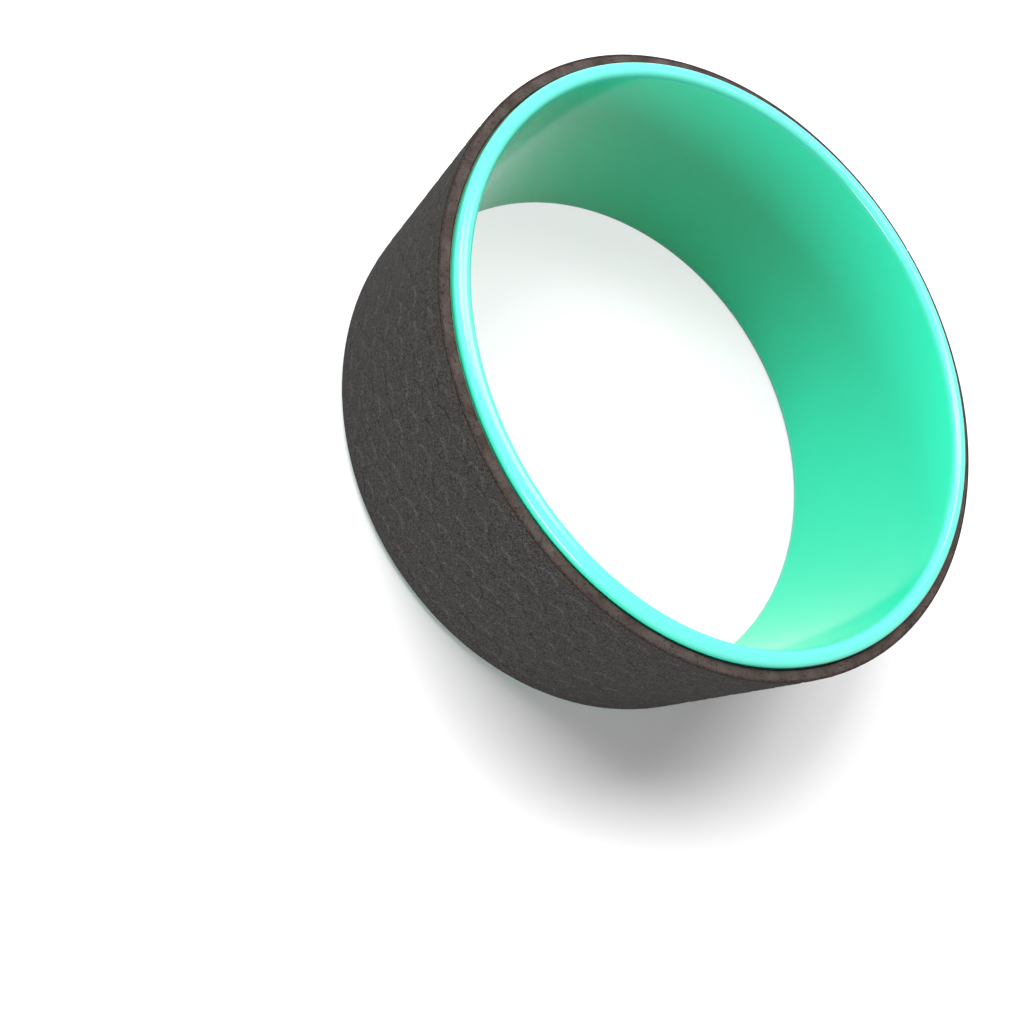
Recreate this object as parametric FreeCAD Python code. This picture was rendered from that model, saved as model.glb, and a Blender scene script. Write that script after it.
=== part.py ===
import FreeCAD, Part
import math
import os

# Yoga wheel: a moulded hoop with a cushioned, embossed mat glued round its outside.
# The wheel lies on one rim with its axis along +Z; the origin is the centre of that rim's plane.

# Hoop: one plain ring, with both rims rolled over into a bull nose that leaves a narrow flat land
hoop_diameter = 316.0
hoop_width = 130.0
hoop_wall = 8.0
rim_outer_round_share = 0.375
rim_inner_round_share = 0.4375

# Mat: foam with a laminated grip skin, cut as one strip and butted end to end round the hoop
foam_thickness = 5.0
skin_thickness = 1.5
skin_edge_round_share = 0.5
rim_reveal = 4.5
seam_gap = 0.4
seam_angle = 90.0

# Glue film between the hoop and the foam, kept back from the mat's cut edges
film_thickness = 0.2
film_clearance = 0.3
film_setback = 1.2

# Radii from the inside out, each layer seated on the one below
hoop_outside = hoop_diameter / 2
hoop_inside = hoop_outside - hoop_wall
film_inside = hoop_outside + film_clearance
foam_inside = film_inside + film_thickness
skin_inside = foam_inside + foam_thickness
wheel_outside = skin_inside + skin_thickness

# Heights of the mat's two cut edges, level with each other on foam and skin
mat_bottom = rim_reveal
mat_top = hoop_width - rim_reveal

# Roundings are quarter circles, each turned as a few conical bands
round_chords = 4

full_turn = 360.0
right_angle = 90.0
wheel_axis = FreeCAD.Vector(0, 0, 1)
centre = FreeCAD.Vector(0, 0, 0)


def section_point(radius, height):
    """A point of a section drawn in the XZ plane."""
    return FreeCAD.Vector(radius, 0, height)


def rounded_corner(radius, height, inward, upward, rounding):
    """Points along the quarter circle of one corner, from its upright side to its level side.

    inward and upward are +1 or -1 and point from the corner into the section.
    """
    if rounding <= 0:
        return [section_point(radius, height)]
    points = []
    for step in range(round_chords + 1):
        turn = math.radians(right_angle) * step / round_chords
        across = rounding * (1 - math.cos(turn))
        along = rounding * (1 - math.sin(turn))
        points.append(section_point(radius + inward * across, height + upward * along))
    return points


def ring_section(inside, outside, bottom, top, inner_rounding, outer_rounding):
    """A face between two radii and two heights, with its inner and outer corners rounded."""
    outline = (
        rounded_corner(inside, bottom, 1, 1, inner_rounding)
        + rounded_corner(outside, bottom, -1, 1, outer_rounding)[::-1]
        + rounded_corner(outside, top, -1, -1, outer_rounding)
        + rounded_corner(inside, top, 1, -1, inner_rounding)[::-1]
    )
    return Part.Face(Part.makePolygon(outline + outline[:1]))


def wrapped_strip(section):
    """A section carried round the wheel from one side of the butt seam to the other."""
    gap_angle = math.degrees(seam_gap / wheel_outside)
    start = section.copy()
    start.rotate(centre, wheel_axis, seam_angle + gap_angle / 2)
    return start.revolve(centre, wheel_axis, full_turn - gap_angle)


def make_hoop():
    """The rigid ring: bore and outside are straight, the rims are rounded on both sides."""
    inner_round = hoop_wall * rim_inner_round_share
    outer_round = hoop_wall * rim_outer_round_share
    section = ring_section(hoop_inside, hoop_outside, 0, hoop_width, inner_round, outer_round)
    return section.revolve(centre, wheel_axis, full_turn)


def make_glue_film():
    """The thin film that bonds the foam to the hoop."""
    bottom = mat_bottom + film_setback
    top = mat_top - film_setback
    return wrapped_strip(ring_section(film_inside, foam_inside, bottom, top, 0, 0))


def make_foam_layer():
    """The cushion of the mat, with square cut edges beside both rims."""
    return wrapped_strip(ring_section(foam_inside, skin_inside, mat_bottom, mat_top, 0, 0))


def make_grip_skin():
    """The skin on the foam, with its two outer edges rounded over."""
    edge_round = skin_thickness * skin_edge_round_share
    return wrapped_strip(
        ring_section(skin_inside, wheel_outside, mat_bottom, mat_top, 0, edge_round)
    )


parts = {
    "hoop": make_hoop(),
    "glue_film": make_glue_film(),
    "foam_layer": make_foam_layer(),
    "grip_skin": make_grip_skin(),
}

os.makedirs("parts", exist_ok=True)
for node, shape in parts.items():
    shape.exportStep(f"parts/{node}.step")
    print(f"{node}: valid {shape.isValid()}, volume {shape.Volume:.0f} cubic mm")
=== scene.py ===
import math

import bpy
import numpy as np
from mathutils import Euler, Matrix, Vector


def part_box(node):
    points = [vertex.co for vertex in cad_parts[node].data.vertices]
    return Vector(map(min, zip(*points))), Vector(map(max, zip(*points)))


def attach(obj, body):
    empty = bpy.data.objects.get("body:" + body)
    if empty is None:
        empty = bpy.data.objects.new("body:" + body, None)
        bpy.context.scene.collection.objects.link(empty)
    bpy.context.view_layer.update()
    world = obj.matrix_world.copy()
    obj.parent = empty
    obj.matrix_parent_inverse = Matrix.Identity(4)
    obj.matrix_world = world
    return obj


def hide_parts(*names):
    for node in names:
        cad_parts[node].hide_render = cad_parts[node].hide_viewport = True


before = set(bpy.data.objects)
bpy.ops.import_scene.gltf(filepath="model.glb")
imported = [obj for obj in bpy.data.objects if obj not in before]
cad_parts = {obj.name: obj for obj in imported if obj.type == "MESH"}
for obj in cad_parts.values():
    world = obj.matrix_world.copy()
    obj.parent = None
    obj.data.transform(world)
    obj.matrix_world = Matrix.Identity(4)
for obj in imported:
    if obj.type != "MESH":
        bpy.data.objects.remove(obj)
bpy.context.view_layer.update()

# Sizes in metres, as on the solids; the heights of the rims and of the mat's edges come from the frame
hoop_outside = 0.158
hoop_inside = 0.150
rim_outer_round = 0.003
rim_inner_round = 0.0035
foam_inside = 0.1585
foam_outside = 0.1635
wheel_outside = 0.165
seam_gap = 0.0004
seam_angle = math.radians(90)
hoop_bottom, hoop_top = (corner[2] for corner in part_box("hoop"))
mat_bottom, mat_top = (corner[2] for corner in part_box("grip_skin"))
hoop_middle = (hoop_bottom + hoop_top) / 2
mat_width = mat_top - mat_bottom

# Smaller than on the solids: the skin's edge rounding, and the gap between the foam's soft ends
skin_edge_round = 0.0005
foam_seam_gap = 0.00004

# Embossing: raised shields with their round ends towards the upper rim, and lower scales between them
cells_round = 59
cell_length = 2 * math.pi * wheel_outside / cells_round
cell_width = 0.0164
pattern_lean = 0.055
shield_half_width = 0.39
shield_rise = 0.0065
scale_drop = 0.0064
scale_rise = 0.0085
scale_share = 0.55
step_run = 0.0011
slope_run = 0.0095
groove_run = 0.0008
lip_run = 0.0010
relief_height = 0.00032
emboss_fade = 0.0015

# Cut edge of the skin, in shares of the way over its rounding: where its body shows, and its crease, where
# shade is painted
body_start = 0.5
body_full = 0.9
crease_place = 0.5
crease_width = 0.33

# Small unevenness of the soft mat, with a seed for each soft noise
mat_waviness = 0.00004
mat_wave_seed = 3
cut_waviness = 0.00025
cut_grain = 0.0013
cut_grain_seed = 11
cut_swell = 0.009
cut_swell_seed = 12
foam_corner_fall = 0.0010
foam_corner_width = 0.0009
foam_shade_width = 0.0008
seam_fall = 0.00015
seam_fall_length = 0.0020

# Faces that meet at a smaller angle than this are shaded as one smooth surface
smooth_angle = math.radians(40)

# Colours, linear
wall_mint = (0.010, 0.71, 0.43, 1)
wall_mint_light = (0.014, 0.75, 0.47, 1)
# The rims' colours are lighter and bluer than the wall's: a painted highlight
painted_highlight_rim_mint = (0.105, 0.68, 0.54, 1)
painted_highlight_rim_mint_light = (0.12, 0.71, 0.58, 1)
skin_dark = (0.009, 0.0078, 0.0075, 1)
skin_pale = (0.088, 0.083, 0.080, 1)
# Dark colour of the painted shade in the embossing's grooves and along the cut edges' crease
skin_painted_shade = (0.010, 0.007, 0.007, 1)
skin_edge_dark = (0.034, 0.025, 0.022, 1)
skin_edge_pale = (0.064, 0.050, 0.045, 1)
foam_brown = (0.042, 0.030, 0.027, 1)
foam_pale = (0.092, 0.072, 0.066, 1)
# Dark colour of the foam's pores and pits, and of the painted shade in the corner next to the hoop
foam_pore_and_shade = (0.020, 0.012, 0.010, 1)
glue_dark = (0.12, 0.09, 0.055, 1)
glue_amber = (0.26, 0.21, 0.14, 1)
floor_white = (0.92, 0.92, 0.92, 1)
floor_bounce = (0.33, 0.33, 0.33, 1)
plain_white = (1, 1, 1, 1)

# Mint plastic: how far above and below mid height the rims' painted highlight starts, and over what height it
# comes in; the waves of its patterns to a metre; its roughness, and what the patterns add to it
rim_highlight_start = 0.0598
rim_highlight_width = 0.0034
cloud_waves = 22.0
scuff_waves = 900.0
ripple_waves = 60.0
ripple_depth = 0.00005
plastic_roughness = 0.10
cloud_roughness = 0.05
scuff_roughness = 0.05

# Grip skin: the waves of its patterns to a metre, their contrast, and their shares of the pale tone, of the
# painted highlight on the lips, of the painted shade in the grooves and of the bumps; its roughness, and what
# the grain adds to it
grain_waves = 1500.0
grain_contrast = 5.0
grain_tone = 0.52
grain_bump = 0.7
pebble_waves = 850.0
pebble_contrast = 3.6
pebble_tone = 0.26
pebble_bump = 0.6
# Patches that vary the painted highlight on the lips and the painted shade in the grooves
light_patch_waves = 260.0
light_patch_contrast = 3.4
least_lip_highlight = 0.2
least_tone = 0.04
# Share of the painted highlight on the lips, and darkness of the painted shade in the grooves
lip_highlight_tone = 0.31
groove_painted_shade = 0.7
skin_bump_depth = 0.0004
skin_roughness = 0.7
grain_roughness = 0.2

# Cut foam: its pores to a metre and their size as a share of their room; the waves of its pits and patches to
# a metre, the level of noise at which a pit starts and the rise over which it deepens; their darkness
pore_cells = 1000.0
pore_size = 0.4545
pore_darkness = 0.45
pore_bump = 0.6
pit_waves = 480.0
pit_start = 0.58
pit_rise = 0.2
pit_darkness = 0.7
patch_waves = 110.0
patch_contrast = 2.0
foam_bump_depth = 0.0005

# Glue: the waves of its cloudiness to a metre, the depth of its bumps, its roughness and what the clouds add
glue_waves = 45.0
glue_bump_depth = 0.0001
glue_roughness = 0.45
glue_cloud_roughness = 0.2

# Floor: the share of it that is plain white where it is seen, and what is added to that within the hoop;
# how far out the share starts to grow, and over what distance it becomes all
floor_half = 3.0
floor_plain_share = 0.12
bore_extra_share = 0.60
shadow_reach = 0.45
shadow_fade = 0.60

# Lamps, each with its direction from the wheel, its distance, its two sides and its power
world_light = 0.10
lamps = (
    ("key_lamp", (-0.60, -0.12, 0.79), 2.0, 1.0, 1.0, 48.0),
    ("upper_lamp", (-0.34, 0.20, 0.92), 2.0, 0.9, 0.9, 16.0),
    ("low_front_lamp", (0.28, -0.95, 0.09), 1.6, 0.7, 0.4, 25.0),
    ("rim_lamp", (-0.11, 0.50, 0.86), 1.6, 0.60, 0.45, 10.0),
)

# Camera fitted to the edges of the wheel in the photograph, in millimetres, metres and degrees
camera_sensor = 36.0
camera_lens = 35.875
camera_place = (0.0, -0.39149, 0.47613)
camera_turn = (17.2777, -28.3853, 54.4402)


class Value:
    """A number that changes over a surface. Python's operators on it add Math nodes to its finish."""

    def __init__(self, finish, socket):
        self.finish = finish
        self.socket = socket

    def math(self, operation, *others, clamp=False):
        """The result of any Math node, with this value as its first input."""
        settings = {"operation": operation, "use_clamp": clamp}
        return self.finish.node("ShaderNodeMath", settings, dict(enumerate((self, *others))))

    def __add__(self, other):
        return self.math("ADD", other)

    __radd__ = __add__

    def __mul__(self, other):
        return self.math("MULTIPLY", other)

    __rmul__ = __mul__

    def __sub__(self, other):
        return self.math("SUBTRACT", other)

    def __rsub__(self, other):
        return (self * -1.0) + other

    def __truediv__(self, other):
        return self.math("DIVIDE", other)

    def __rtruediv__(self, other):
        return self.math("POWER", -1.0) * other

    def __abs__(self):
        return self.math("ABSOLUTE")

    def clamped(self):
        """The value kept between 0 and 1."""
        return self.math("ADD", 0.0, clamp=True)

    def contrasted(self, times):
        """The value spread out so many times from a half, and kept between 0 and 1."""
        return ((self - 0.5) * times + 0.5).clamped()

    def ramp(self, start, width):
        """0 up to the start, then a straight rise to 1 over the width."""
        return ((self - start) / width).clamped()


class Finish:
    """The nodes of a material or a world.

    node() adds any node: its type, its settings, then the values or links of its sockets.
    """

    def __init__(self, holder):
        self.holder = holder
        holder.use_nodes = True
        self.nodes = holder.node_tree.nodes
        self.links = holder.node_tree.links
        self.nodes.clear()

    def node(self, kind, settings=None, sockets=None, output=0):
        made = self.nodes.new(kind)
        for name, value in (settings or {}).items():
            setattr(made, name, value)
        for name, value in (sockets or {}).items():
            if isinstance(value, Value):
                self.links.new(value.socket, made.inputs[name])
            else:
                made.inputs[name].default_value = value
        return Value(self, made.outputs[output] if made.outputs else None)

    def place(self):
        """Where a point is on the object, in metres."""
        return self.node("ShaderNodeTexCoord", output="Object")

    def height(self):
        """How high a point is above the lower rim's plane."""
        return self.node("ShaderNodeSeparateXYZ", sockets={0: self.place()}, output="Z")

    def from_middle(self):
        """How far a point is from the middle of the lower rim's plane."""
        return self.node("ShaderNodeVectorMath", {"operation": "LENGTH"}, {0: self.place()}, "Value")

    def noise(self, waves, detail=2.0, roughness=0.5):
        """Cloudy noise from 0 to 1 with so many waves to a metre."""
        sockets = {"Vector": self.place(), "Scale": waves, "Detail": detail, "Roughness": roughness}
        return self.node("ShaderNodeTexNoise", sockets=sockets)

    def cells(self, count):
        """Distance from the middle of the nearest of many small cells, so many to a metre."""
        return self.node("ShaderNodeTexVoronoi", sockets={"Vector": self.place(), "Scale": count})

    def attribute(self, name):
        """A number that the piece's own points carry."""
        return self.node("ShaderNodeAttribute", {"attribute_name": name}, output="Fac")

    def blend(self, share, first, second):
        """A colour between two others, the second where share is 1."""
        sockets = {"Factor": share, 6: first, 7: second}
        return self.node("ShaderNodeMix", {"data_type": "RGBA"}, sockets, output=2)

    def bump(self, height, distance, strength=1.0):
        """A normal that leans as if the surface stood so high, times the distance."""
        sockets = {"Height": height, "Distance": distance, "Strength": strength}
        return self.node("ShaderNodeBump", sockets=sockets)

    def seen(self):
        """1 for what is seen directly, in a gloss or through something clear, 0 for light thrown on."""
        kinds = ("Camera", "Glossy", "Transmission")
        rays = [self.node("ShaderNodeLightPath", output=f"Is {kind} Ray") for kind in kinds]
        return sum(rays, 0.0).clamped()

    def mixed(self, share, first, second):
        """A shader between two others, the second where share is 1."""
        return self.node("ShaderNodeMixShader", sockets={0: share, 1: first, 2: second})

    def end(self, shader, output="ShaderNodeOutputMaterial"):
        """The material or world that holds these nodes, with a shader as its surface."""
        self.node(output, sockets={"Surface": shader})
        return self.holder

    def surface(self, **sockets):
        """The finished material, from the inputs of one principled surface."""
        named = {name.replace("_", " "): value for name, value in sockets.items()}
        return self.end(self.node("ShaderNodeBsdfPrincipled", sockets=named))


def material_finish(name):
    """The empty finish of a new material."""
    return Finish(bpy.data.materials.new(name))


def smooth_step(low, high, value):
    """0 below low, 1 above high and a smooth S curve between them."""
    share = np.clip((value - low) / (high - low), 0, 1)
    return share * share * (3 - 2 * share)


def soft_noise(across, along, seed):
    """Values from -1 to 1: random numbers on a whole-number grid, joined by smooth steps both ways."""
    rows = int(across.max()) + 2
    columns = int(along.max()) + 2
    table = np.random.default_rng(seed).uniform(-1, 1, (rows, columns))
    row, column = np.floor(across).astype(int), np.floor(along).astype(int)
    share_row = smooth_step(0, 1, across - row)
    share_column = smooth_step(0, 1, along - column)
    low = table[row, column] * (1 - share_column) + table[row, column + 1] * share_column
    high = table[row + 1, column] * (1 - share_column) + table[row + 1, column + 1] * share_column
    return low * (1 - share_row) + high * share_row


def inner_steps(start, end, steps):
    """Evenly spaced values from a start to an end that lie so many steps apart, without these two."""
    return np.linspace(start, end, steps + 1)[1:-1]


def corner_arc(radius, height, start, rounding, steps):
    """Points of a quarter circle round a centre, from the start angle on, as radius and height."""
    turn = np.radians(start) + np.linspace(0, np.pi / 2, steps + 1)
    return radius + rounding * np.cos(turn), height + rounding * np.sin(turn)


def joined(*runs):
    """Runs of section points, as radius and height, made into one closed loop."""
    return tuple(np.concatenate(values) for values in zip(*runs))


def turned(radius, height, angle):
    """Points on circles round the wheel's axis, from their radius, height and angle."""
    places = np.broadcast_arrays(radius * np.cos(angle), radius * np.sin(angle), height)
    return np.stack(places, axis=-1)


def add_piece(name, points, closed_round, material):
    """A mesh from a grid of points: rows go round a closed section, columns go round the wheel.

    The section's points run so that the outside is on their right. A wheel that isn't closed round
    gets a flat face at each end.
    """
    rows, columns = points.shape[:2]
    index = np.arange(rows * columns).reshape(rows, columns)
    above = np.roll(index, -1, axis=0)
    beside = np.roll(index, -1, axis=1)
    above_beside = np.roll(above, -1, axis=1)
    quads = np.stack([index, beside, above_beside, above], axis=-1)
    if not closed_round:
        quads = quads[:, :-1]
    faces = quads.reshape(-1, 4).tolist()
    if not closed_round:
        faces += [index[:, 0].tolist(), index[::-1, -1].tolist()]
    mesh = bpy.data.meshes.new(name)
    mesh.from_pydata(points.reshape(-1, 3), [], faces)
    mesh.materials.append(material)
    mesh.shade_smooth()
    mesh.set_sharp_from_angle(angle=smooth_angle)
    piece = bpy.data.objects.new(name, mesh)
    bpy.context.scene.collection.objects.link(piece)
    return piece


def add_attribute(piece, name, values):
    """One number for each point of a piece."""
    piece.data.attributes.new(name, "FLOAT", "POINT").data.foreach_set("value", values.ravel())


def strip_angles(columns, gap):
    """Angles of a strip's columns, from one side of the butt seam round to the other."""
    half_gap = gap / wheel_outside / 2
    return np.linspace(seam_angle + half_gap, seam_angle + 2 * math.pi - half_gap, columns)


def seam_distance(angle, radius):
    """How far round the mat a column is from the nearer end of the strip."""
    turn = angle - angle[0]
    return np.minimum(turn, turn[-1] - turn) * radius


def shield_relief(round_way, across_way):
    """Relief of the embossing from 0 to 1, the grooves under the shields where shade is painted, and the lips
    of upper edges where highlights are painted.

    In each cell, a point has a depth below the shield's top and a share of the way round from its
    middle. The shield's round end is half an ellipse; its lower sides are the upper edges of the two
    lower scales beside it, half ellipses too, half a cell round and a short drop down. A shield is a
    level pad with a step along all its edges. A scale steps up below its edge and then slopes away to
    the ground.
    """
    leaning = round_way - pattern_lean * across_way
    aside = np.abs((leaning / cell_length) % 1 - 0.5)
    depth = -across_way % cell_width
    end = shield_rise * (1 - np.sqrt(np.maximum(0, 1 - (aside / shield_half_width) ** 2)))
    edge = scale_drop + scale_rise * (1 - np.sqrt(np.maximum(0, 1 - (1 - 2 * aside) ** 2)))
    under_end, over_edge = depth - end, edge - depth
    under_edge = -over_edge % cell_width
    pad = smooth_step(0, step_run, under_end) * smooth_step(0, step_run, over_edge)
    slope = smooth_step(0, step_run, under_edge) * (1 - smooth_step(step_run, slope_run, under_edge))
    # groove: where painted shade darkens the skin at each scale's upper edge
    groove = np.exp(-((over_edge / groove_run) ** 2))
    # lip: where a painted highlight lightens the skin along the upper edges
    lip = np.exp(-(((under_end - step_run) / lip_run) ** 2)) * (over_edge > 0)
    lip += scale_share * np.exp(-(((under_edge - step_run) / lip_run) ** 2)) * (over_edge < 0)
    return pad + scale_share * slope * (1 - pad), groove, lip


def make_hoop(material):
    """The ring: a straight bore and outside, with a quarter circle at each of the four corners."""
    wall_steps, arc_steps, columns = 23, 14, 720
    outer = hoop_outside - rim_outer_round
    inner = hoop_inside + rim_inner_round
    outside_heights = inner_steps(hoop_bottom + rim_outer_round, hoop_top - rim_outer_round, wall_steps)
    inside_heights = inner_steps(hoop_top - rim_inner_round, hoop_bottom + rim_inner_round, wall_steps)
    radius, height = joined(
        (np.full_like(outside_heights, hoop_outside), outside_heights),
        corner_arc(outer, hoop_top - rim_outer_round, 0, rim_outer_round, arc_steps),
        corner_arc(inner, hoop_top - rim_inner_round, 90, rim_inner_round, arc_steps),
        (np.full_like(inside_heights, hoop_inside), inside_heights),
        corner_arc(inner, hoop_bottom + rim_inner_round, 180, rim_inner_round, arc_steps),
        corner_arc(outer, hoop_bottom + rim_outer_round, 270, rim_outer_round, arc_steps),
    )
    angle = np.linspace(0, 2 * math.pi, columns, endpoint=False)
    points = turned(radius[:, None], height[:, None], angle[None, :])
    return add_piece("mint_hoop", points, True, material)


def make_grip_skin(material):
    """The mat's skin: a thin strip whose outside carries the embossing.

    The radius of the outside is the wheel's radius, less the relief's height, plus the relief, less a
    slow waviness. The relief fades at the cut edges, and the ends dip at the seam.
    """
    samples, arc_steps = 30, 5
    columns = cells_round * samples + 1
    face_steps = round(mat_width / cell_width * samples)
    ground = wheel_outside - relief_height
    arc_centre = ground - skin_edge_round
    face_heights = inner_steps(mat_bottom + skin_edge_round, mat_top - skin_edge_round, face_steps)
    radius, height = joined(
        (np.full_like(face_heights, ground), face_heights),
        corner_arc(arc_centre, mat_top - skin_edge_round, 0, skin_edge_round, arc_steps),
        (np.array([foam_outside, foam_outside]), np.array([mat_top, mat_bottom])),
        corner_arc(arc_centre, mat_bottom + skin_edge_round, 270, skin_edge_round, arc_steps),
    )
    angle = strip_angles(columns, seam_gap)
    round_way, across_way = np.meshgrid((angle - angle[0]) * wheel_outside, height - mat_bottom)
    relief, groove, lip = shield_relief(round_way, across_way)
    on_face = np.zeros(len(height))
    on_face[: len(face_heights)] = 1
    edge_distance = np.minimum(height - mat_bottom, mat_top - height) - skin_edge_round
    fade = (on_face * smooth_step(0, emboss_fade, edge_distance))[:, None]
    wave = soft_noise(across_way / cell_width, round_way / cell_length, mat_wave_seed) - 1
    dip = (1 - smooth_step(0, seam_fall_length, seam_distance(angle, wheel_outside)))[None, :]
    outward = (radius > foam_outside)[:, None]
    lift = fade * relief * relief_height + outward * (wave * mat_waviness - dip * seam_fall)
    points = turned(radius[:, None] + lift, height[:, None], angle[None, :])
    piece = add_piece("embossed_grip_skin", points, False, material)
    over_edge = np.outer(np.clip(-edge_distance / skin_edge_round, 0, 1), np.ones_like(angle))
    # Painted shade along the crease at the corner of the cut edge
    crease = np.exp(-(((over_edge - crease_place) / crease_width) ** 2))
    # The groove carries painted shade, the lip a painted highlight
    add_attribute(piece, "groove", fade * groove)
    add_attribute(piece, "lip", fade * lip)
    add_attribute(piece, "cut", smooth_step(body_start, body_full, over_edge))
    add_attribute(piece, "crease", (over_edge > 0) * crease)
    return piece


def make_foam_layer(material):
    """The cushion: a strip of square section whose two cut edges are a little uneven.

    The height of a cut edge is the mat's edge, drawn in by two sizes of soft noise over the
    thickness and the length, and by a smooth fall at the corner next to the hoop. At the seam, the
    soft ends press together, so they stand closer than the skin's.
    """
    columns, cut_steps, side_steps = 1440, 14, 6
    cut_radius = np.linspace(foam_outside, foam_inside, cut_steps + 1)
    rise = inner_steps(mat_bottom, mat_top, side_steps)
    radius, height = joined(
        (np.full_like(rise, foam_outside), rise),
        (cut_radius, np.full_like(cut_radius, mat_top)),
        (np.full_like(rise, foam_inside), rise[::-1]),
        (cut_radius[::-1], np.full_like(cut_radius, mat_bottom)),
    )
    angle = strip_angles(columns, foam_seam_gap)
    along, depth = np.meshgrid((angle - angle[0]) * foam_outside, radius - foam_inside)
    fine = soft_noise(depth / cut_grain, along / cut_grain, cut_grain_seed)
    slow = soft_noise(depth / cut_swell, along / cut_swell, cut_swell_seed)
    drawn_in = (2 + fine + slow) / 4 * cut_waviness
    drawn_in += foam_corner_fall * (1 - smooth_step(0, foam_corner_width, depth))
    inward = np.where(height >= mat_top, -1.0, np.where(height <= mat_bottom, 1.0, 0.0))[:, None]
    points = turned(radius[:, None], height[:, None] + inward * drawn_in, angle[None, :])
    piece = add_piece("cut_foam_layer", points, False, material)
    # Where the foam gets painted shade, in the corner next to the hoop
    add_attribute(piece, "corner", 1 - smooth_step(0, foam_shade_width, depth))
    return piece


def mint_plastic():
    """Glossy mint plastic with faint cloudiness; the rolled rims are a little lighter and bluer, a painted
    highlight.
    """
    finish = material_finish("mint_plastic")
    from_mid_height = abs(finish.height() - hoop_middle)
    # The rims take the lighter, bluer colours: a painted highlight
    highlight_share = from_mid_height.ramp(rim_highlight_start, rim_highlight_width)
    cloud = finish.noise(cloud_waves, detail=3.0)
    wall = finish.blend(cloud, wall_mint, wall_mint_light)
    rim = finish.blend(cloud, painted_highlight_rim_mint, painted_highlight_rim_mint_light)
    scuffs = finish.noise(scuff_waves, detail=4.0, roughness=0.65)
    return finish.surface(
        Base_Color=finish.blend(highlight_share, wall, rim),
        Roughness=plastic_roughness + cloud * cloud_roughness + scuffs * scuff_roughness,
        IOR=1.5,
        Specular_IOR_Level=0.4,
        Normal=finish.bump(finish.noise(ripple_waves), ripple_depth),
    )


def grip_skin_finish():
    """Matte dark skin with a fine grain, with a painted highlight on the embossing's lips and painted shade
    in its grooves. Its cut edges show a dense brown body, darker than the foam's, with painted shade along
    the crease at the corner.
    """
    finish = material_finish("matte_grip_skin")
    grain = finish.noise(grain_waves, detail=3.0, roughness=0.65).contrasted(grain_contrast)
    pebble = finish.noise(pebble_waves).contrasted(pebble_contrast)
    painted_light_patches = finish.noise(light_patch_waves, detail=3.0, roughness=0.6).contrasted(light_patch_contrast)
    # Painted highlight on the lips, in patches
    lip = finish.attribute("lip") * (painted_light_patches + least_lip_highlight)
    tone = least_tone + pebble * pebble_tone + grain * grain_tone + lip * lip_highlight_tone
    # Painted shade in the grooves, in patches
    groove = finish.attribute("groove") * (1.0 - painted_light_patches) * groove_painted_shade
    face = finish.blend(groove, finish.blend(tone.clamped(), skin_dark, skin_pale), skin_painted_shade)
    body = finish.blend(pebble, skin_edge_dark, skin_edge_pale)
    edged = finish.blend(finish.attribute("cut"), face, body)
    bumps = pebble * pebble_bump + grain * grain_bump
    # The crease gets painted shade
    return finish.surface(
        Base_Color=finish.blend(finish.attribute("crease"), edged, skin_painted_shade),
        Roughness=skin_roughness + grain * grain_roughness,
        Specular_IOR_Level=0.03,
        Normal=finish.bump(bumps, skin_bump_depth, strength=0.7),
    )


def cut_foam_finish():
    """Raw cut foam: warm brown-grey, full of small open pores, with painted shade in the corner next to the
    hoop.
    """
    finish = material_finish("raw_cut_foam")
    pores = 1.0 - finish.cells(pore_cells).ramp(0.0, pore_size)
    pits = finish.noise(pit_waves).ramp(pit_start, pit_rise)
    patch = finish.noise(patch_waves, detail=3.0).contrasted(patch_contrast)
    # Dark pores and pits, and painted shade in the corner next to the hoop
    dark = pores * pore_darkness + pits * pit_darkness + finish.attribute("corner")
    body = finish.blend(patch, foam_brown, foam_pale)
    return finish.surface(
        Base_Color=finish.blend(dark.clamped(), body, foam_pore_and_shade),
        Roughness=0.95,
        Specular_IOR_Level=0.05,
        Normal=finish.bump(1.0 - pores * pore_bump - pits, foam_bump_depth, strength=0.8),
    )


def glue_finish():
    """Cured glue: dull amber, cloudy where it was spread thin."""
    finish = material_finish("cured_glue")
    cloud = finish.noise(glue_waves, detail=3.0)
    return finish.surface(
        Base_Color=finish.blend(cloud, glue_dark, glue_amber),
        Roughness=glue_roughness + cloud * glue_cloud_roughness,
        Normal=finish.bump(cloud, glue_bump_depth),
    )


def floor_finish():
    """White paper that throws little light back at the wheel.

    Seen directly or in a gloss, a share of it is plain white, and the rest takes the shadow. The share
    is larger within the hoop, and far from the wheel it is all.
    """
    finish = material_finish("white_floor")
    seen = finish.seen()
    colour = finish.blend(seen, floor_bounce, floor_white)
    paper = finish.node("ShaderNodeBsdfPrincipled", sockets={"Base Color": colour, "Roughness": 0.9})
    plain = finish.node("ShaderNodeEmission", sockets={"Color": plain_white})
    distance = finish.from_middle()
    within = distance.math("LESS_THAN", hoop_outside - rim_outer_round)
    away = distance.ramp(shadow_reach, shadow_fade)
    share = (away + floor_plain_share + within * bore_extra_share).clamped()
    return finish.end(finish.mixed(seen * share, paper, plain))


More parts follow.
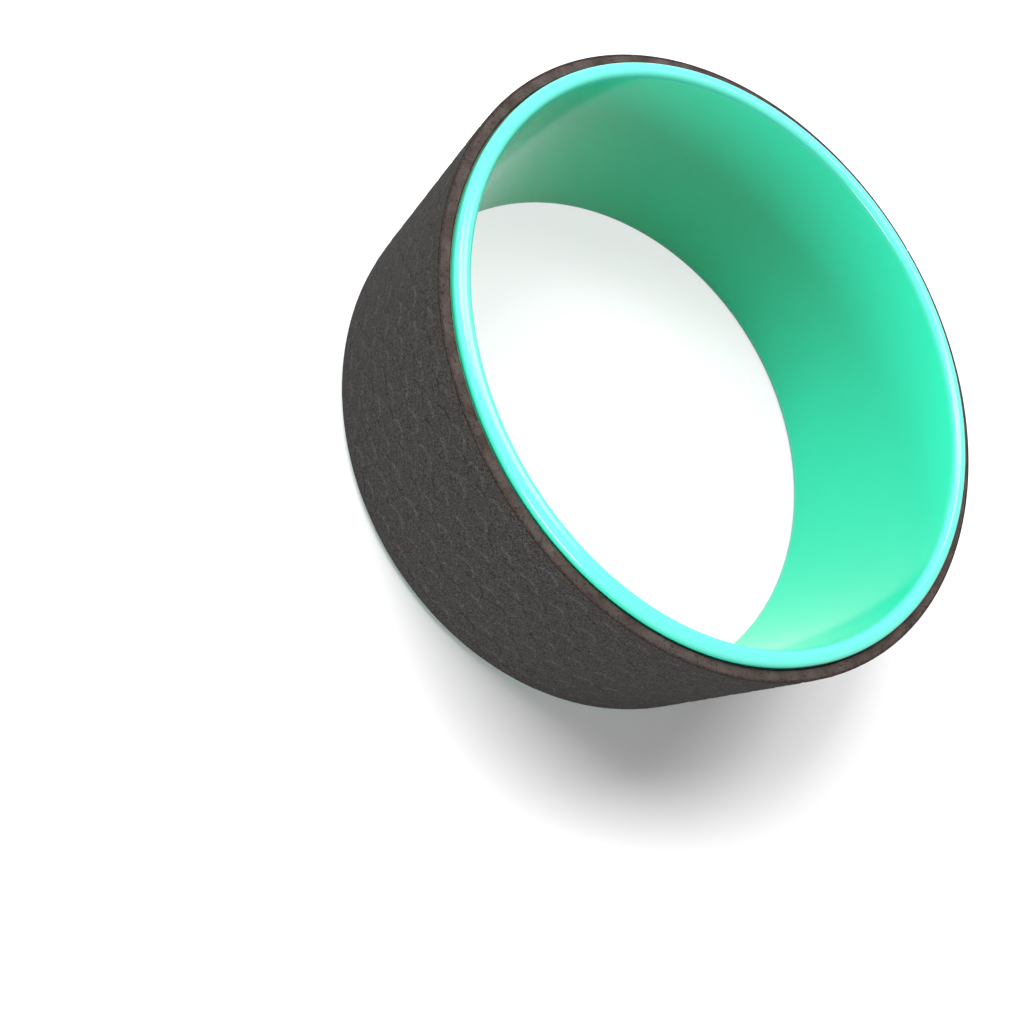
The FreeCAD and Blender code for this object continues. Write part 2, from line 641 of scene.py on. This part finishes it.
def studio_world():
    """Even soft light from all round, seen as plain white."""
    finish = Finish(bpy.data.worlds.new("studio"))
    light = finish.node("ShaderNodeBackground", sockets={"Color": plain_white, "Strength": world_light})
    plain = finish.node("ShaderNodeBackground", sockets={"Color": plain_white, "Strength": 1.0})
    shown = finish.mixed(finish.seen(), light, plain)
    bpy.context.scene.world = finish.end(shown, "ShaderNodeOutputWorld")


def add_lamp(name, direction, distance, level_side, upright_side, power):
    """A soft lamp, a rectangle that faces the wheel's middle and isn't seen itself."""
    data = bpy.data.lights.new(name, "AREA")
    data.shape = "RECTANGLE"
    data.size = level_side
    data.size_y = upright_side
    data.energy = power
    lamp = bpy.data.objects.new(name, data)
    towards = Vector(direction).normalized()
    lamp.location = Vector((0, 0, hoop_middle)) + towards * distance
    lamp.rotation_euler = towards.to_track_quat("Z", "Y").to_euler()
    lamp.visible_camera = False
    bpy.context.scene.collection.objects.link(lamp)


def add_floor():
    """A large level square under the wheel."""
    half = floor_half
    mesh = bpy.data.meshes.new("floor")
    corners = [(-half, -half, 0), (half, -half, 0), (half, half, 0), (-half, half, 0)]
    mesh.from_pydata(corners, [], [(0, 1, 2, 3)])
    mesh.materials.append(floor_finish())
    floor = bpy.data.objects.new("floor", mesh)
    bpy.context.scene.collection.objects.link(floor)


def add_camera():
    """The photograph's view: over the near rim, rolled, a little wider than normal."""
    data = bpy.data.cameras.new("photo_view")
    data.sensor_width = camera_sensor
    data.lens = camera_lens
    camera = bpy.data.objects.new("photo_view", data)
    camera.location = camera_place
    camera.rotation_euler = Euler([math.radians(turn) for turn in camera_turn])
    bpy.context.scene.collection.objects.link(camera)
    bpy.context.scene.camera = camera


hoop = make_hoop(mint_plastic())
foam_layer = make_foam_layer(cut_foam_finish())
grip_skin = make_grip_skin(grip_skin_finish())
pieces = (
    (hoop, "hoop", "hoop_plastic"),
    (foam_layer, "foam_layer", "mat_foam"),
    (grip_skin, "grip_skin", "mat_skin"),
)
for piece, node, slot in pieces:
    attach(piece, "root")
    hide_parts(node)

cured_glue = glue_finish()
for material_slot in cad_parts["glue_film"].material_slots:
    material_slot.material = cured_glue

add_floor()
studio_world()
for lamp in lamps:
    add_lamp(*lamp)
add_camera()
bpy.context.scene.view_settings.view_transform = "Standard"
